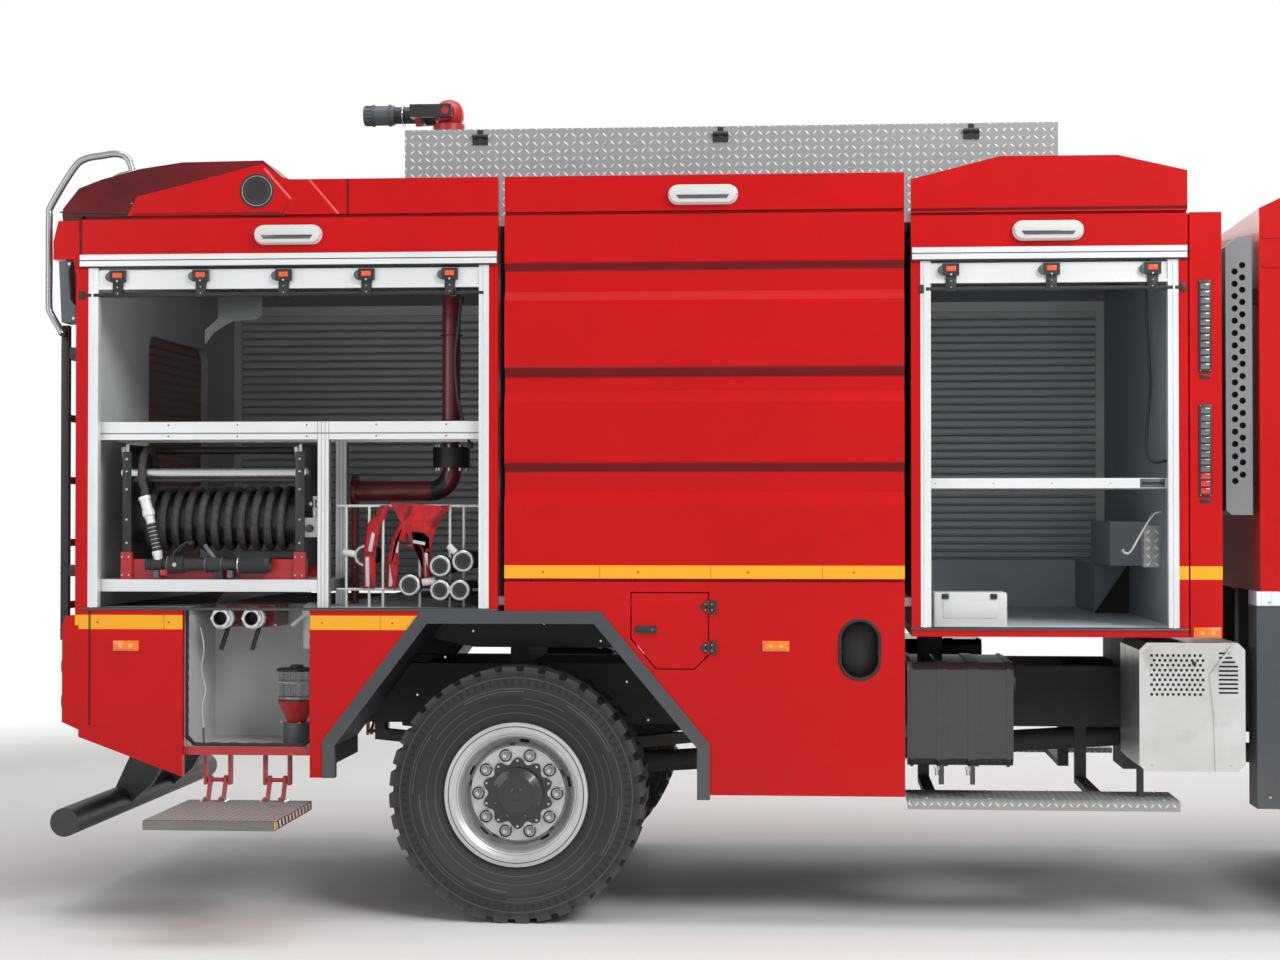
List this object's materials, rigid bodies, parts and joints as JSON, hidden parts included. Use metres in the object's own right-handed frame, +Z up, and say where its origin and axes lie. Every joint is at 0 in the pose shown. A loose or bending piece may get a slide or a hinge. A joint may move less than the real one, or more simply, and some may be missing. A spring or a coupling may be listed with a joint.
{
  "type": "airport fire truck",
  "caption": "Two-axle fire truck with a cab, an equipment body with roller shutters, a hose reel, a roof monitor and fold-down platforms.",
  "frame": {"origin": "on the ground under the middle of the overall box; because one side platform is folded down, that point lies 0.19 m to the right of the body centre line, and it lies 1.7525 m ahead of the rear axle", "axes": "+X forward, +Y to the left side, +Z up"},
  "size_m": [7.596, 3.32, 3.702],
  "materials": {
    "frame_rails": "satin",
    "axles": "satin",
    "engine": "satin",
    "fuel_tanks": "gloss",
    "exhaust_box": "satin",
    "running_boards": "satin",
    "underrun_bar": "satin",
    "body_structure": "satin",
    "rear_panels": "gloss",
    "centre_panels": "gloss",
    "front_panels": "gloss",
    "roof_deck": "satin",
    "roof_hoods": "gloss",
    "arch_trims": "matte",
    "shutter_frames": "satin",
    "shutter_curtains": "satin",
    "hose_reel": "satin",
    "reel_hose": "matte",
    "pump_pipes": "satin",
    "hose_rack": "satin",
    "strap_bags": "matte",
    "roof_locker": "satin",
    "ladder": "satin",
    "rear_wall": "gloss",
    "lamps": "gloss",
    "cab_shell": "gloss",
    "cab_glass": "polished",
    "cab_interior": "matte",
    "cab_steps": "matte",
    "front_bumper": "gloss",
    "mirrors": "satin",
    "air_intake": "matte",
    "door_right": "gloss",
    "door_left": "gloss",
    "flap_right": "gloss",
    "flap_left": "gloss",
    "hatch": "gloss",
    "locker_lid": "satin",
    "monitor_body": "gloss",
    "monitor_barrel": "satin",
    "knuckle_right": "satin",
    "knuckle_left": "satin",
    "tyre_front_right": "matte",
    "wheel_front_right": "satin",
    "tyre_front_left": "matte",
    "wheel_front_left": "satin",
    "tyre_rear_right": "matte",
    "wheel_rear_right": "satin",
    "tyre_rear_left": "matte",
    "wheel_rear_left": "satin"
  },
  "bodies": {
    "truck": {"frame_rails": "frame_rails", "axles": "axles", "engine": "engine", "fuel_tanks": "fuel_tanks", "exhaust_box": "exhaust_box", "running_boards": "running_boards", "underrun_bar": "underrun_bar", "body_structure": "body_structure", "rear_panels": "rear_panels", "centre_panels": "centre_panels", "front_panels": "front_panels", "roof_deck": "roof_deck", "roof_hoods": "roof_hoods", "arch_trims": "arch_trims", "shutter_frames": "shutter_frames", "shutter_curtains": "shutter_curtains", "hose_reel": "hose_reel", "reel_hose": "reel_hose", "pump_pipes": "pump_pipes", "hose_rack": "hose_rack", "strap_bags": "strap_bags", "roof_locker": "roof_locker", "ladder": "ladder", "rear_wall": "rear_wall", "lamps": "lamps", "cab_shell": "cab_shell", "cab_glass": "cab_glass", "cab_interior": "cab_interior", "cab_steps": "cab_steps", "front_bumper": "front_bumper", "mirrors": "mirrors", "air_intake": "air_intake"},
    "right_door": {"door_right": "door_right"},
    "left_door": {"door_left": "door_left"},
    "right_platform": {"flap_right": "flap_right"},
    "left_platform": {"flap_left": "flap_left"},
    "hatch_door": {"hatch": "hatch"},
    "locker_cover": {"locker_lid": "locker_lid"},
    "monitor_turret": {"monitor_body": "monitor_body"},
    "monitor_tube": {"monitor_barrel": "monitor_barrel"},
    "right_knuckle": {"knuckle_right": "knuckle_right"},
    "left_knuckle": {"knuckle_left": "knuckle_left"},
    "front_right_wheel": {"tyre_front_right": "tyre_front_right", "wheel_front_right": "wheel_front_right"},
    "front_left_wheel": {"tyre_front_left": "tyre_front_left", "wheel_front_left": "wheel_front_left"},
    "rear_right_wheel": {"tyre_rear_right": "tyre_rear_right", "wheel_rear_right": "wheel_rear_right"},
    "rear_left_wheel": {"tyre_rear_left": "tyre_rear_left", "wheel_rear_left": "wheel_rear_left"}
  },
  "joints": [
    {"name": "steer_right", "type": "hinge", "parent": "truck", "child": "right_knuckle", "pos_m": [2.2975, -0.64, 0.54], "axis": [0, 0, 1], "range_deg": [-34, 34]},
    {"name": "steer_left", "type": "hinge", "parent": "truck", "child": "left_knuckle", "pos_m": [2.2975, 1.02, 0.54], "axis": [0, 0, 1], "range_deg": [-34, 34]},
    {"name": "roll_front_right", "type": "hinge", "parent": "right_knuckle", "child": "front_right_wheel", "pos_m": [2.2975, -0.8525, 0.54], "axis": [0, 1, 0], "continuous": true},
    {"name": "roll_front_left", "type": "hinge", "parent": "left_knuckle", "child": "front_left_wheel", "pos_m": [2.2975, 1.2325, 0.54], "axis": [0, 1, 0], "continuous": true},
    {"name": "roll_rear_right", "type": "hinge", "parent": "truck", "child": "rear_right_wheel", "pos_m": [-1.7525, -0.8525, 0.54], "axis": [0, 1, 0], "continuous": true},
    {"name": "roll_rear_left", "type": "hinge", "parent": "truck", "child": "rear_left_wheel", "pos_m": [-1.7525, 1.2325, 0.54], "axis": [0, 1, 0], "continuous": true},
    {"name": "right_door_swing", "type": "hinge", "parent": "truck", "child": "right_door", "pos_m": [3.454, -1.044, 1.76], "axis": [0, 0, 1], "range_deg": [0, 72]},
    {"name": "left_door_swing", "type": "hinge", "parent": "truck", "child": "left_door", "pos_m": [3.454, 1.424, 1.76], "axis": [0, 0, -1], "range_deg": [0, 72]},
    {"name": "right_platform_fold", "type": "hinge", "parent": "truck", "child": "right_platform", "pos_m": [-2.9025, -0.94, 0.585], "axis": [-1, 0, 0], "range_deg": [0, 90]},
    {"name": "left_platform_fold", "type": "hinge", "parent": "truck", "child": "left_platform", "pos_m": [-2.9025, 1.32, 0.585], "axis": [-1, 0, 0], "range_deg": [0, 90]},
    {"name": "hatch_swing", "type": "hinge", "parent": "truck", "child": "hatch_door", "pos_m": [-0.937, -1.068, 1.23], "axis": [0, 0, 1], "range_deg": [0, 110]},
    {"name": "locker_lid_lift", "type": "hinge", "parent": "truck", "child": "locker_cover", "pos_m": [-0.8705, -0.67, 3.381], "axis": [1, 0, 0], "range_deg": [0, 100]},
    {"name": "monitor_turn", "type": "hinge", "parent": "truck", "child": "monitor_turret", "pos_m": [-2.2325, 0.19, 3.48], "axis": [0, 0, 1], "range_deg": [-170, 170]},
    {"name": "monitor_lift", "type": "hinge", "parent": "monitor_turret", "child": "monitor_tube", "pos_m": [-2.2325, 0.19, 3.63], "axis": [0, 1, 0], "range_deg": [-10, 75]}
  ],
  "couplings": [
    {"joint": "steer_left", "follows": "steer_right", "ratio": 1}
  ]
}
